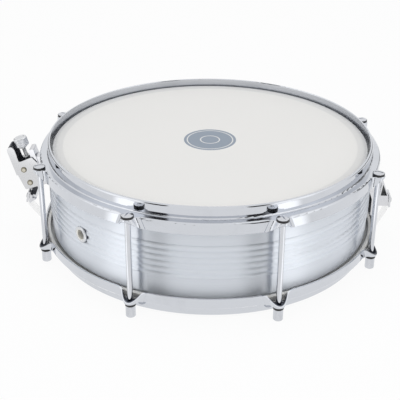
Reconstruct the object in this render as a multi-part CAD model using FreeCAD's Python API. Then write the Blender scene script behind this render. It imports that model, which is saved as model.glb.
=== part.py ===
import FreeCAD, Part
import math
import os

# A twelve-inch samba snare drum with a beaded aluminium shell, two chromed hoops with
# drawn ears, eight tension rods, a lever strainer on one side and a butt clamp opposite.
# Lengths are in millimetres and angles in degrees. Z points up and z = 0 is the plane
# of the nut bottoms, which the drum stands on. The drum's axis is the Z axis. The
# strainer is at -X, the butt clamp at +X, and the player's side is -Y.

V = FreeCAD.Vector

# Shell
shell_r = 152.4
shell_wall = 1.2
shell_depth = 88.9
edge_neck_in = 4.7
edge_round = 0.5
bead_count = 6
bead_pitch = 5.6
bead_width = 4.2
bead_height = 1.0

# Heads: film pulled over the bearing edges by flesh hoops
film = 0.3
film_neck_gap = 0.1
film_step_gap = 0.4
flesh_shell_gap = 2.4
flesh_wall = 3.6
flesh_height = 6.0
flesh_round = 1.0

# Hoops, pressed into a hemmed collar, a step and a skirt
hoop_wall = 1.3
collar_gap = 1.8
collar_round = 1.2
rim_round = 1.9
rim_flat = 0.1
rim_above_edge = 7.4
step_drop = 11.0
skirt_depth = 10.3
skirt_gap = 0.3
skirt_round = 2.0

# Drawn ears that hold the tension rods
ear_count = 8
ear_first_angle = 22.5
ear_reach = 5.9
ear_face_half = 9.8
ear_mouth_half = 14.0
ear_blend = 4.5
ear_round = 0.8
ear_round_steps = 3
ear_lip = 1.8

# Snare gates cut in the lower rim
gate_half = 9.5
gate_rise = 6.8

# Tension hardware
rod_offset = 3.5
rod_r = 2.5
rod_head_r = 5.1
rod_head_height = 1.5
rod_head_crown = 1.1
slot_width = 1.4
slot_depth = 0.8
head_washer_r = 5.4
head_washer_t = 1.8
nut_r = 4.25
nut_height = 11.2
nut_chamfer = 0.5
nut_floor = 6.6
nut_washer_r = 4.7
nut_washer_t = 2.2
rod_end_gap = 0.1

# Vent eyelet
vent_angle = -45.0
vent_bore_r = 4.4
vent_tube_r = 5.2
vent_flange_r = 7.5
vent_flange_t = 1.4
vent_flange_round = 0.9
vent_back_t = 0.8
vent_back_r = 6.6

# Clearances
running_gap = 0.05
open_gap = 0.3
side_gap = 0.3
screw_gap = 0.1
overrun = 5.0
join_gap = 0.0001

# Strainer: its own frame has u up the lean, v outward and the lever pivot at (0, 0)
pivot_stand = 21.4
pivot_below_mid = 0.45
lean = 16.0
sheet = 1.2
pin_r = 2.0
pin_head_r = 2.8
pin_head_t = 1.1
pin_head_round = 0.8
cross_pin_v = 1.1
cross_pin_u = 14.4

# Strainer base and its foot on the shell
base_web_v = -14.5
base_top_u = 32.0
base_lip_v = -9.5
base_shoulder_u = 23.0
base_front_v = -1.6
base_front_u = 8.6
base_boss_v = 4.2
base_boss_u = 4.4
base_bottom_u = -6.0
base_round = 1.5
foot_half = 6.0
foot_height = 23.0
foot_skirt_gap = 4.7
gasket_t = 2.0
gasket_margin = 1.0
mount_screw_r = 2.0
mount_screw_head_r = 3.9
mount_screw_head_t = 2.2
mount_screw_reach = 7.0
mount_screw_spacing = 12.0
mount_washer_r = 5.0
mount_washer_t = 0.8

# Carriage that the lever's cross pin lifts and lowers
carriage_below = 5.2
carriage_above = 8.1
fork_tip_v = 4.2
fork_slot_back_v = -1.4
fork_gap_below = 0.5
fork_gap_above = 0.4
fork_prong = 2.4

# Tension screw and knob
screw_v = -4.0
screw_r = 2.0
screw_inset = 0.6
collar_disc_r = 3.9
collar_disc_t = 2.8
knob_r = 6.5
knob_rise = 3.7
knob_height = 9.0
knob_round = 1.4
knob_socket = 6.0
knob_neck_r = 3.4
knob_neck_t = 1.6

# Throw-off lever
lever_half = 8.4
lever_knob_gap = 0.5
lever_arm_depth = 7.0
lever_top_u = 39.6
lever_top_round = 3.4
lever_web_foot_u = 10.5
lever_web_curl = 3.6
lever_notch_u = 22.9
lever_back_v = -13.8
lever_back_u = 17.9
lever_ear_v = -10.6
lever_ear_u = 24.7
lever_toe_v = -6.1
lever_toe_u = -5.4
lever_heel_v = 6.7
lever_heel_u = -6.1
lever_round = 1.6

# Snare unit under the lower head
snare_gap = 0.3
wire_count = 10
wire_r = 0.85
wire_pitch = 3.4
end_plate_inset = 10.7
end_plate_length = 11.0
end_plate_margin = 1.85
end_plate_t = 1.5
plate_screw_r = 1.2
plate_screw_head_r = 2.2
plate_screw_head_t = 1.0
plate_screw_half = 4.2
strap_t = 0.5
strap_side_gap = 2.5
strap_gap = 0.1
strap_skirt_gap = 1.6
strap_bend_rise = 1.65
strap_lead = 1.5
strap_level_gap = 0.1
strap_round = 3.0
strap_grip = 9.0

# Slide on the tension screw, its tail and the strap's jaw
slide_gap = 2.6
slide_height = 10.0
slide_wall = 1.2
tail_start_inset = 0.8
tail_start_drop = 2.8
tail_out = 8.6
tail_down = 15.2
tail_t = 2.4
neck_back_v = -5.5
neck_back_drop = 5.1
neck_out_v = 5.2
neck_out_drop = 1.5
neck_foot = 3.6
neck_foot_short = 3.7
neck_wall = 1.1
neck_pocket_reach = 9.0
jaw_margin = 1.0
jaw_length = 11.5
jaw_t = 2.0
jaw_round = 0.8
jaw_screw_r = 1.5
jaw_screw_head_r = 2.6
jaw_screw_head_t = 1.4
jaw_screw_spacing = 8.8

# Butt clamp
butt_skirt_gap = 6.4
butt_plate_height = 17.0
butt_plate_t = 2.4
butt_plate_margin = 4.1
butt_mount_gap = 0.4
butt_gasket_t = 3.0
butt_gasket_low_inset = 3.2
butt_gasket_high_inset = 3.8
butt_reach = 14.8
butt_arm_height = 11.0
butt_heel = 3.7
butt_round = 1.2
butt_wall = 1.3
butt_wedge_step = 5.8
butt_peak_rise = 13.4
butt_peak_lean = 1.8
butt_peak_width = 1.8
butt_pocket_share = 0.86
butt_jaw_t = 1.8
butt_jaw_height = 11.5
butt_jaw_inset = 1.0
butt_screw_half = 4.6
butt_screw_inset = 5.6
butt_nut_r = 3.6
butt_nut_t = 2.6

# Radii that follow from the sizes above
shell_in_r = shell_r - shell_wall
bead_crest_r = shell_r + bead_height
edge_neck_r = shell_r - edge_neck_in
collar_in_r = edge_neck_r + film_neck_gap + film + collar_gap
collar_r = collar_in_r + 2 * hoop_wall
rim_inner_round = 2 * hoop_wall - rim_round - rim_flat
flesh_in_r = shell_r + flesh_shell_gap
flesh_out_r = flesh_in_r + flesh_wall
skirt_in_r = flesh_out_r + skirt_gap
skirt_r = skirt_in_r + hoop_wall
ear_root_r = (collar_r + skirt_in_r) / 2
rod_circle_r = skirt_r + rod_offset
ear_tip_r = rod_circle_r + ear_reach
pivot_r = shell_r + pivot_stand

# Heights that follow
rim_bottom_z = nut_height + nut_washer_t - step_drop
low_edge_z = rim_bottom_z + rim_above_edge
mid_z = low_edge_z + shell_depth / 2
edge_z = low_edge_z + shell_depth
rim_z = edge_z + rim_above_edge
step_z = rim_z - step_drop
step_under_z = step_z - hoop_wall
skirt_end_z = step_z - skirt_depth
neck_foot_z = step_under_z - film_step_gap - film - film_neck_gap
pivot_z = mid_z - pivot_below_mid
foot_high_z = skirt_end_z - foot_skirt_gap
foot_low_z = foot_high_z - foot_height

# Places in the strainer's frame that follow
base_half = lever_half - sheet - side_gap
inner_half = base_half - sheet - side_gap
carriage_low_u = cross_pin_u - carriage_below
carriage_top_u = cross_pin_u + carriage_above
slide_top_u = carriage_low_u - slide_gap
slide_low_u = slide_top_u - slide_height
slide_front_v = screw_v + screw_r + slide_wall
screw_low_u = slide_low_u + screw_inset
knob_low_u = base_top_u + knob_rise
lever_arm_v = screw_v + knob_r + lever_knob_gap
lever_throw_v = lever_arm_v + lever_arm_depth

# Snare unit and straps that follow
wire_half_length = edge_neck_r - end_plate_inset - end_plate_length
wire_z = low_edge_z - film - snare_gap - wire_r
end_plate_half = (wire_count - 1) / 2 * wire_pitch + wire_r + end_plate_margin
strap_half = gate_half - strap_side_gap
strap_space = strap_t + 2 * strap_gap
strap_level = wire_z - end_plate_t / 2 - strap_level_gap - strap_t / 2
jaw_half = strap_half + jaw_margin

# Butt clamp's places that follow
butt_seat_r = shell_r + butt_gasket_t
butt_face_r = butt_seat_r + butt_plate_t
butt_end_r = butt_face_r + butt_reach
butt_heel_r = butt_face_r + butt_heel
butt_wedge_r = butt_face_r + butt_wedge_step
butt_peak_r = butt_wedge_r + butt_peak_lean
butt_half = jaw_half
butt_mount_half = butt_half + mount_screw_head_r + butt_mount_gap
butt_plate_half = butt_mount_half + butt_plate_margin
butt_low_z = 2 * mid_z - skirt_end_z + butt_skirt_gap
butt_high_z = butt_low_z + butt_plate_height
butt_screw_z = butt_high_z - butt_screw_inset
butt_mount_z = (butt_low_z + butt_gasket_low_inset + butt_high_z - butt_gasket_high_inset) / 2
butt_jaw_high_z = butt_high_z - butt_jaw_inset
butt_jaw_low_z = butt_jaw_high_z - butt_jaw_height


def outline(points):
    """A closed wire in the XZ plane. A point is (x, z) for a sharp corner, (x, z, r) for
    a corner rounded to radius r, or (mx, mz, x, z) for an arc through m to (x, z)."""
    corners = [V(p[-2], 0, p[-1]) if len(p) == 4 else V(p[0], 0, p[1]) for p in points]
    count = len(points)
    start = [None] * count
    stop = [None] * count
    middle = [None] * count
    for i, point in enumerate(points):
        start[i] = corners[i]
        stop[i] = corners[i]
        if len(point) != 3 or point[2] == 0:
            continue
        back = (corners[i - 1] - corners[i]).normalize()
        ahead = (corners[(i + 1) % count] - corners[i]).normalize()
        half = back.getAngle(ahead) / 2
        run = point[2] / math.tan(half)
        start[i] = corners[i] + back * run
        stop[i] = corners[i] + ahead * run
        inward = (back + ahead).normalize()
        middle[i] = corners[i] + inward * (point[2] / math.sin(half) - point[2])
    edges = []
    for i, point in enumerate(points):
        before = stop[i - 1]
        if len(point) == 4:
            edges.append(Part.Arc(before, V(point[0], 0, point[1]), corners[i]).toShape())
            continue
        if before.distanceToPoint(start[i]) > join_gap:
            edges.append(Part.LineSegment(before, start[i]).toShape())
        if middle[i] is not None:
            edges.append(Part.Arc(start[i], middle[i], stop[i]).toShape())
    return Part.Wire(edges)


def turned(points):
    """The solid swept by a half outline in the XZ plane, turned about the Z axis."""
    return Part.Face(outline(points)).revolve(V(0, 0, 0), V(0, 0, 1), 360)


def slab(points, low_y, high_y):
    """The outline made solid from low_y to high_y along Y."""
    face = Part.Face(outline(points))
    face.translate(V(0, low_y, 0))
    return face.extrude(V(0, high_y - low_y, 0))


def rod(radius, start, stop):
    """A round bar between two points."""
    return Part.makeCylinder(radius, start.distanceToPoint(stop), start, stop - start)


def ring(outer, inner, low, high):
    """A washer or tube about the Z axis."""
    return Part.makeCylinder(outer, high - low, V(0, 0, low)).cut(
        Part.makeCylinder(inner, high - low + 2 * overrun, V(0, 0, low - overrun)))


def fuse(shapes):
    solid = shapes[0].multiFuse(shapes[1:])
    return solid.removeSplitter()


def at_rods(shape):
    """Copies of a shape, made at +X, round the circle of tension rods."""
    step = 360.0 / ear_count
    copies = []
    for index in range(ear_count):
        copy = shape.copy()
        copy.rotate(V(0, 0, 0), V(0, 0, 1), ear_first_angle + index * step - 90)
        copies.append(copy)
    return copies


def flipped(shape):
    """The same shape at the drum's lower side."""
    return shape.mirror(V(0, 0, mid_z), V(0, 0, 1))


def save(name, shape):
    if isinstance(shape, list):
        shape = Part.makeCompound(shape)
    shape.exportStep("parts/" + name + ".step")
    print(name, len(shape.Solids), "solids", round(shape.Volume, 1), "mm3")


def bead_arcs(radius, rising):
    """Points of the shell wall's rolled beads, as arcs standing out from the radius."""
    centres = [mid_z + (i - (bead_count - 1) / 2) * bead_pitch for i in range(bead_count)]
    half = bead_width / 2
    points = []
    for centre in (centres if rising else reversed(centres)):
        first = centre - half if rising else centre + half
        last = centre + half if rising else centre - half
        points.append((radius, first))
        points.append((radius + bead_height, centre, radius, last))
    return points


def shell():
    """One wall from bearing edge to bearing edge, necked in at both ends."""
    flare = shell_r - edge_neck_r
    neck_in_r = edge_neck_r - shell_wall
    upper = [(edge_neck_r, neck_foot_z), (edge_neck_r, edge_z, edge_round),
             (neck_in_r, edge_z, edge_round), (neck_in_r, neck_foot_z),
             (shell_in_r, neck_foot_z - flare)]
    lower = [(r, 2 * mid_z - z, *rest) for r, z, *rest in reversed(upper)]
    outer_low = (shell_r, 2 * mid_z - neck_foot_z + flare)
    outer_high = (shell_r, neck_foot_z - flare)
    body = turned([outer_low] + bead_arcs(shell_r, True) + [outer_high] + upper
                  + bead_arcs(shell_in_r, False) + lower)
    holes = [radial_bar(vent_tube_r + screw_gap, vent_angle, mid_z)]
    for height in strainer_screw_heights():
        holes.append(radial_bar(mount_screw_r + screw_gap, -90, height))
    for side in (-butt_mount_half, butt_mount_half):
        holes.append(rod(mount_screw_r + screw_gap, V(shell_in_r - overrun, side, butt_mount_z),
                         V(shell_r + overrun, side, butt_mount_z)))
    return body.cut(holes)


def radial_bar(radius, angle, height):
    """A bar through the shell wall; the angle runs from -Y towards +X."""
    out = V(math.sin(math.radians(angle)), -math.cos(math.radians(angle)), 0)
    up = V(0, 0, height)
    return rod(radius, out * (shell_in_r - overrun) + up, out * (bead_crest_r + overrun) + up)


def strainer_screw_heights():
    middle = (foot_low_z + foot_high_z) / 2
    return [middle - mount_screw_spacing / 2, middle + mount_screw_spacing / 2]


def ear_wire(inset, height):
    """The round of one ear at +X and its blends into the skirt, shrunk by an inset."""
    share = (step_z - height) / (step_z - skirt_end_z)
    foot = ear_face_half + (ear_mouth_half - ear_face_half) * share
    reach = ear_tip_r - skirt_r
    span = (reach ** 2 + foot ** 2) / (2 * reach)
    centre = V(ear_tip_r - span + ear_blend, 0, height)
    nose_r = span - ear_blend - inset
    blend_r = ear_blend + inset
    halves = []
    for side in (-1, 1):
        blend = V(skirt_r + ear_blend, side * foot, height)
        toward = (blend - centre).normalize()
        join = centre + toward * nose_r
        middle = blend - (toward + V(1, 0, 0)).normalize() * blend_r
        end = V(skirt_r - inset, side * foot, height)
        halves.append((join, middle, end, V(ear_root_r, side * foot, height)))
    tip = V(ear_tip_r - inset, 0, height)
    low, high = halves
    edges = [Part.LineSegment(low[3], low[2]), Part.Arc(low[2], low[1], low[0]),
             Part.Arc(low[0], tip, high[0]), Part.Arc(high[0], high[1], high[2]),
             Part.LineSegment(high[2], high[3]), Part.LineSegment(high[3], low[3])]
    return Part.Wire([edge.toShape() for edge in edges])


def ear_block(rings):
    """The cup of one ear, through rings given as (inset, height)."""
    return Part.makeLoft([ear_wire(*ring_at) for ring_at in rings], True, True)


def ear_outside():
    """The outside of an ear: its wall widens to the mouth, its face has a rounded edge."""
    rings = [(0, skirt_end_z)]
    for index in range(ear_round_steps + 1):
        angle = math.pi / 2 * index / ear_round_steps
        rings.append((ear_round * (1 - math.cos(angle)),
                      step_z - ear_round * (1 - math.sin(angle))))
    return ear_block(rings)


def ear_mouth():
    """What is cut from an ear's wall, on a slant from the skirt's edge to the lip."""
    rise = (step_z - ear_lip - skirt_end_z) / (ear_tip_r - skirt_r)
    far = ear_tip_r + overrun
    half = ear_mouth_half + overrun
    return slab([(skirt_r, skirt_end_z - overrun), (far, skirt_end_z - overrun),
                 (far, skirt_end_z + (far - skirt_r) * rise), (skirt_r, skirt_end_z)],
                -half, half)


def hoop():
    """The upper hoop: collar, step, skirt and eight ears pressed from one sheet."""
    outer = turned([
        (0, skirt_end_z), (skirt_r, skirt_end_z), (skirt_r, step_z, skirt_round),
        (collar_r, step_z, collar_round), (collar_r, rim_z, rim_round), (0, rim_z)])
    crown_r = collar_in_r + rim_inner_round
    slant = rim_inner_round * math.sqrt(0.5)
    inner = turned([
        (0, skirt_end_z - overrun), (skirt_in_r, skirt_end_z - overrun),
        (skirt_in_r, step_under_z, skirt_round - hoop_wall),
        (collar_in_r, step_under_z), (collar_in_r, rim_z - rim_inner_round),
        (crown_r - slant, rim_z - rim_inner_round + slant, crown_r, rim_z),
        (crown_r, rim_z + overrun), (0, rim_z + overrun)])
    body = fuse([outer] + at_rods(ear_outside()))
    cup = ear_block([(hoop_wall, skirt_end_z - overrun), (hoop_wall, step_under_z)])
    hole = rod(rod_r + open_gap, V(rod_circle_r, 0, skirt_end_z - overrun),
               V(rod_circle_r, 0, step_z + overrun))
    return body.cut([inner] + at_rods(cup) + at_rods(ear_mouth()) + at_rods(hole))


def lower_hoop():
    gate_top = rim_bottom_z + gate_rise
    gates = []
    for side in (-1, 1):
        gates.append(slab([
            (side * (collar_in_r - overrun), rim_bottom_z - overrun),
            (side * (collar_r + join_gap), rim_bottom_z - overrun),
            (side * (collar_r + join_gap), gate_top),
            (side * (collar_in_r - overrun), gate_top)],
            -gate_half, gate_half))
    return flipped(hoop()).cut(gates)


def head_film():
    """Film over the upper bearing edge, down the neck and out into the flesh hoop."""
    neck_r = edge_neck_r + film_neck_gap
    leg_z = neck_foot_z + film_neck_gap
    return turned([
        (0, edge_z), (neck_r, edge_z, edge_round + film_neck_gap), (neck_r, leg_z),
        (flesh_in_r, leg_z), (flesh_in_r, leg_z + film), (neck_r + film, leg_z + film),
        (neck_r + film, edge_z + film, edge_round + film_neck_gap + film),
        (0, edge_z + film)])


def flesh_hoop():
    low = step_under_z - flesh_height
    return turned([
        (flesh_in_r, low, flesh_round), (flesh_out_r, low, flesh_round),
        (flesh_out_r, step_under_z, flesh_round), (flesh_in_r, step_under_z)])


def tension_rod():
    """A slotted head, domed above its rim, on a plain shank, made at +X."""
    seat = step_z + head_washer_t
    top = seat + rod_head_height
    foot = nut_floor + rod_end_gap
    crown_r = (rod_head_r ** 2 + rod_head_crown ** 2) / (2 * rod_head_crown)
    half = math.asin(rod_head_r / crown_r) / 2
    middle = (crown_r * math.sin(half), top - crown_r * (1 - math.cos(half)))
    bolt = turned([
        (0, foot), (rod_r, foot, rod_r / 4), (rod_r, seat), (rod_head_r, seat),
        (rod_head_r, top - rod_head_crown), (*middle, 0, top)])
    slot = Part.makeBox(2 * (rod_head_r + overrun), slot_width, slot_depth + overrun,
                        V(-rod_head_r - overrun, -slot_width / 2, top - slot_depth))
    bolt = bolt.cut(slot)
    bolt.translate(V(rod_circle_r, 0, 0))
    return bolt


def head_washer():
    washer = ring(head_washer_r, rod_r + open_gap, step_z, step_z + head_washer_t)
    washer.translate(V(rod_circle_r, 0, 0))
    return washer


def nut_washer():
    washer = ring(nut_washer_r, rod_r + open_gap, nut_height, nut_height + nut_washer_t)
    washer.translate(V(rod_circle_r, 0, 0))
    return washer


def tension_nut():
    """A tall round nut with a blind bore; its flat bottom is a foot of the drum."""
    nut = turned([(0, 0), (nut_r - nut_chamfer, 0), (nut_r, nut_chamfer),
                  (nut_r, nut_height - nut_chamfer), (nut_r - nut_chamfer, nut_height),
                  (0, nut_height)])
    nut = nut.cut(rod(rod_r + running_gap, V(0, 0, nut_floor), V(0, 0, nut_height + overrun)))
    nut.translate(V(rod_circle_r, 0, 0))
    return nut


def vent_eyelet():
    """A rolled eyelet through the shell, made along +X and turned to its place."""
    seat = bead_crest_r
    back = shell_in_r - vent_back_t
    inner_seat = math.sqrt(shell_in_r ** 2 - vent_back_r ** 2) - vent_back_t
    eyelet = turned([
        (vent_bore_r, inner_seat), (vent_back_r, inner_seat),
        (vent_back_r, inner_seat + vent_back_t), (vent_tube_r, inner_seat + vent_back_t),
        (vent_tube_r, seat), (vent_flange_r, seat),
        (vent_flange_r, seat + vent_flange_t, vent_flange_round),
        (vent_bore_r, seat + vent_flange_t, vent_flange_round)])
    eyelet.rotate(V(0, 0, 0), V(0, 1, 0), 90)
    eyelet.translate(V(0, 0, mid_z))
    eyelet.rotate(V(0, 0, 0), V(0, 0, 1), vent_angle - 90)
    return eyelet


def strainer_place(shape):
    """Move a shape from the strainer's own frame, x = v and z = u, to its place at -X."""
    shape = shape.mirror(V(0, 0, 0), V(1, 0, 0))
    shape.rotate(V(0, 0, 0), V(0, 1, 0), -lean)
    shape.translate(V(-pivot_r, 0, pivot_z))
    return shape


def strainer_point(v, u):
    """Radius and height of a point of the strainer's own frame."""
    angle = math.radians(lean)
    return (pivot_r + v * math.cos(angle) + u * math.sin(angle),
            pivot_z - v * math.sin(angle) + u * math.cos(angle))


def web_radius(height):
    """Radius of the drum side of the strainer's web at a height."""
    angle = math.radians(lean)
    u = (height - pivot_z + base_web_v * math.sin(angle)) / math.cos(angle)
    return strainer_point(base_web_v, u)[0]


def across(radius, v, u, half):
    """A pin across the strainer."""
    return rod(radius, V(v, -half, u), V(v, half, u))


def strainer_base():
    """A leaning channel with a top tab, and a foot block that reaches the shell."""
    half = base_half
    inside = half - sheet
    body = slab([
        (base_web_v, base_bottom_u), (base_web_v, base_top_u, base_round),
        (base_lip_v, base_top_u, base_round), (base_lip_v, base_shoulder_u, base_round),
        (base_front_v, base_shoulder_u, base_round), (base_front_v, base_front_u),
        (base_boss_v, base_boss_u, base_round), (base_boss_v, -base_boss_u, base_boss_u / 2),
        (0, base_bottom_u, base_round)], -half, half)
    hollow = slab([
        (base_web_v + sheet, base_bottom_u - overrun), (base_web_v + sheet, base_top_u - sheet),
        (base_boss_v + overrun, base_top_u - sheet),
        (base_boss_v + overrun, base_bottom_u - overrun)], -inside, inside)
    holes = [across(pin_r + running_gap, 0, 0, half + overrun)]
    body = strainer_place(body.cut([hollow] + holes))
    seat = -shell_r - gasket_t
    foot = slab([(seat, foot_low_z), (seat, foot_high_z),
                 (-web_radius(foot_high_z) - join_gap, foot_high_z),
                 (-web_radius(foot_low_z) - join_gap, foot_low_z)], -foot_half, foot_half)
    bores = []
    for height in strainer_screw_heights():
        bores.append(rod(mount_screw_r + screw_gap, V(seat + overrun, 0, height),
                         V(seat - mount_screw_reach - screw_gap, 0, height)))
    return fuse([body, foot]).cut(bores)


def strainer_gasket():
    margin = gasket_margin
    low = foot_low_z - margin
    high = foot_high_z + margin
    pad = slab([(-shell_r - gasket_t, low), (-shell_r - gasket_t, high), (-shell_in_r, high),
                (-shell_in_r, low)], -foot_half - margin, foot_half + margin)
    holes = [shell_plug()]
    for height in strainer_screw_heights():
        holes.append(radial_bar(mount_screw_r + screw_gap, -90, height))
    return pad.cut(holes)


def shell_plug():
    """The space that the shell fills, beads and all, with nothing inside left out."""
    low = low_edge_z - overrun
    high = edge_z + overrun
    return turned([(0, low), (shell_r, low)] + bead_arcs(shell_r, True)
                  + [(shell_r, high), (0, high)])


def strainer_screws():
    """Two screws from inside the shell into the foot block."""
    screws = []
    seat = math.sqrt(shell_in_r ** 2 - mount_washer_r ** 2) - mount_washer_t
    reach = shell_r + gasket_t + mount_screw_reach
    for height in strainer_screw_heights():
        shank = rod(mount_screw_r, V(-seat + mount_screw_r, 0, height), V(-reach, 0, height))
        head = rod(mount_screw_head_r, V(-seat + mount_screw_head_t, 0, height),
                   V(-seat, 0, height))
        screws.append(fuse([shank, head]))
    return screws


def strainer_washers():
    washers = []
    seat = math.sqrt(shell_in_r ** 2 - mount_washer_r ** 2)
    for height in strainer_screw_heights():
        disc = rod(mount_washer_r, V(-seat + mount_washer_t, 0, height), V(-seat, 0, height))
        hole = rod(mount_screw_r + screw_gap, V(-seat + overrun, 0, height),
                   V(-seat - overrun, 0, height))
        washers.append(disc.cut(hole))
    return washers


def throw_lever():
    """The outer channel: two cheeks, a web on the outer side and a curled thumb end."""
    inside = lever_half - sheet
    throw = lever_throw_v
    body = slab([
        (lever_toe_v, lever_toe_u, lever_round), (lever_heel_v, lever_heel_u, lever_round),
        (throw - sheet, lever_web_foot_u), (throw, lever_web_foot_u),
        (throw, lever_top_u, lever_top_round), (lever_arm_v, lever_top_u, lever_top_round),
        (lever_arm_v, lever_notch_u, lever_round / 2), (lever_ear_v, lever_ear_u, lever_round),
        (lever_back_v, lever_back_u, lever_round)], -lever_half, lever_half)
    hollow = slab([
        (lever_back_v - overrun, lever_toe_u - overrun),
        (throw - sheet, lever_toe_u - overrun),
        (throw - sheet, lever_top_u - sheet, lever_top_round - sheet),
        (throw - lever_web_curl, lever_top_u - sheet),
        (throw - lever_web_curl, lever_top_u + overrun),
        (lever_back_v - overrun, lever_top_u + overrun)], -inside, inside)
    holes = [across(pin_r + running_gap, 0, 0, lever_half + overrun),
             across(pin_r + screw_gap, cross_pin_v, cross_pin_u, lever_half + overrun)]
    return strainer_place(body.cut([hollow] + holes))


def rivet_head(v, u, side):
    """A domed head on the outside of the lever, on the side -1 or 1."""
    head = turned([(0, 0), (pin_head_r, 0), (pin_head_r, pin_head_t, pin_head_round),
                   (0, pin_head_t)])
    head.rotate(V(0, 0, 0), V(1, 0, 0), -90 * side)
    head.translate(V(v, side * lever_half, u))
    return head


def pivot_rivets():
    """Two stub rivets that carry the lever on the base's cheeks."""
    rivets = []
    inside = base_half - sheet
    for side in (-1, 1):
        stub = rod(pin_r, V(0, side * inside, 0), V(0, side * lever_half, 0))
        rivets.append(strainer_place(fuse([stub, rivet_head(0, 0, side)])))
    return rivets


def cross_pin():
    """The lever's drive pin, which lifts and lowers the carriage by its fork."""
    shapes = [across(pin_r, cross_pin_v, cross_pin_u, lever_half)]
    for side in (-1, 1):
        shapes.append(rivet_head(cross_pin_v, cross_pin_u, side))
    return strainer_place(fuse(shapes))


def carriage():
    """The block that slides in the base channel, forked round the drive pin."""
    half = inner_half
    back_v = base_web_v + sheet + side_gap
    block = slab([(back_v, carriage_low_u), (fork_tip_v, carriage_low_u),
                  (fork_tip_v, cross_pin_u + pin_r + fork_gap_above + fork_prong, base_round / 2),
                  (base_front_v, cross_pin_u + pin_r + fork_gap_above + fork_prong),
                  (base_front_v, carriage_top_u, base_round / 2), (back_v, carriage_top_u)],
                 -half, half)
    slot = slab([(fork_slot_back_v, cross_pin_u - pin_r - fork_gap_below),
                 (fork_tip_v + overrun, cross_pin_u - pin_r - fork_gap_below),
                 (fork_tip_v + overrun, cross_pin_u + pin_r + fork_gap_above),
                 (fork_slot_back_v, cross_pin_u + pin_r + fork_gap_above)],
                -half - overrun, half + overrun)
    bore = rod(screw_r + running_gap, V(screw_v, 0, carriage_low_u - overrun),
               V(screw_v, 0, carriage_top_u + overrun))
    return strainer_place(block.cut([slot, bore]))


def adjuster_screw():
    """The tension screw with the collar that bears on the carriage."""
    top = knob_low_u + knob_socket
    collar_low = carriage_top_u + screw_gap
    bar = rod(screw_r, V(screw_v, 0, screw_low_u), V(screw_v, 0, top))
    disc = rod(collar_disc_r, V(screw_v, 0, collar_low),
               V(screw_v, 0, collar_low + collar_disc_t))
    return strainer_place(fuse([bar, disc]))


def adjuster_knob():
    top = knob_low_u + knob_height
    neck = knob_low_u - knob_neck_t
    knob = turned([(0, neck), (knob_neck_r, neck), (knob_neck_r, knob_low_u),
                   (knob_r, knob_low_u, knob_round / 2), (knob_r, top, knob_round), (0, top)])
    socket = rod(screw_r + screw_gap, V(0, 0, neck - overrun),
                 V(0, 0, knob_low_u + knob_socket + screw_gap))
    knob = knob.cut(socket)
    knob.translate(V(screw_v, 0, 0))
    return strainer_place(knob)


def tail_frame():
    """Start, direction and outward normal of the clamp's tail, in the strainer's frame."""
    start = V(slide_front_v - tail_start_inset, 0, slide_low_u - tail_start_drop)
    stop = start + V(tail_out, 0, -tail_down)
    along = (stop - start).normalize()
    return start, stop, along, V(-along.z, 0, along.x)


def tail_plate(low, high, back, half, rounding):
    """A plate lying on the tail, from low to high off its inner face, back from its end."""
    start, stop, along, normal = tail_frame()
    first = stop - along * back
    corners = [first + normal * low, first + normal * high, stop + normal * high,
               stop + normal * low]
    return slab([(c.x, c.z, rounding) for c in corners], -half, half)


def jaw_screw_line(low, high, side):
    stop, along, normal = tail_frame()[1:]
    at = stop - along * (jaw_length / 2) + V(0, side * jaw_screw_spacing / 2, 0)
    return at + normal * low, at + normal * high


def clamp_neck():
    """The hollow-sided body between the slide's block and the tail."""
    start, stop, along, normal = tail_frame()
    top = slide_low_u + slide_wall
    out_u = slide_low_u - neck_out_drop
    back_u = slide_low_u - neck_back_drop
    back_foot = stop - along * neck_foot_short - normal * neck_foot
    front_foot = stop - along * jaw_length + normal * tail_t
    body = slab([(neck_back_v, top), (neck_back_v, back_u), (back_foot.x, back_foot.z),
                 (stop.x, stop.z), (front_foot.x, front_foot.z), (neck_out_v, out_u),
                 (neck_out_v, top)], -inner_half, inner_half)
    deep = start + along * neck_pocket_reach
    back_low = deep - normal * (neck_foot - neck_wall)
    front_low = deep + normal * (tail_t - neck_wall)
    pockets = []
    for side in (-1, 1):
        ends = sorted([side * neck_wall / 2, side * (inner_half + overrun)])
        pockets.append(slab([
            (neck_back_v + neck_wall, slide_low_u - neck_wall),
            (neck_back_v + neck_wall, back_u), (back_low.x, back_low.z),
            (front_low.x, front_low.z), (neck_out_v - neck_wall, out_u)], *ends))
    return body, pockets


def clamp_slide():
    """A nut block on the tension screw, with the tail that the strap is clamped to."""
    half = inner_half
    back_v = base_web_v + sheet + side_gap
    start, stop, along, normal = tail_frame()
    block = slab([(back_v, slide_low_u), (back_v, slide_top_u), (slide_front_v, slide_top_u),
                  (slide_front_v, slide_low_u)], -half, half)
    tail = tail_plate(0, tail_t, start.distanceToPoint(stop), half, 0)
    wide = tail_plate(0, tail_t, jaw_length, jaw_half, jaw_round)
    neck, pockets = clamp_neck()
    bore = rod(screw_r + running_gap, V(screw_v, 0, slide_low_u - overrun),
               V(screw_v, 0, slide_top_u + overrun))
    taps = [rod(jaw_screw_r + screw_gap, *jaw_screw_line(-overrun, tail_t + overrun, side))
            for side in (-1, 1)]
    return strainer_place(fuse([block, neck, tail, wide]).cut(pockets + [bore] + taps))


def clamp_jaw():
    low = tail_t + strap_space
    jaw = tail_plate(low, low + jaw_t, jaw_length, jaw_half, jaw_round)
    taps = [rod(jaw_screw_r + screw_gap, *jaw_screw_line(-overrun, low + jaw_t + overrun, side))
            for side in (-1, 1)]
    return strainer_place(jaw.cut(taps))


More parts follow.
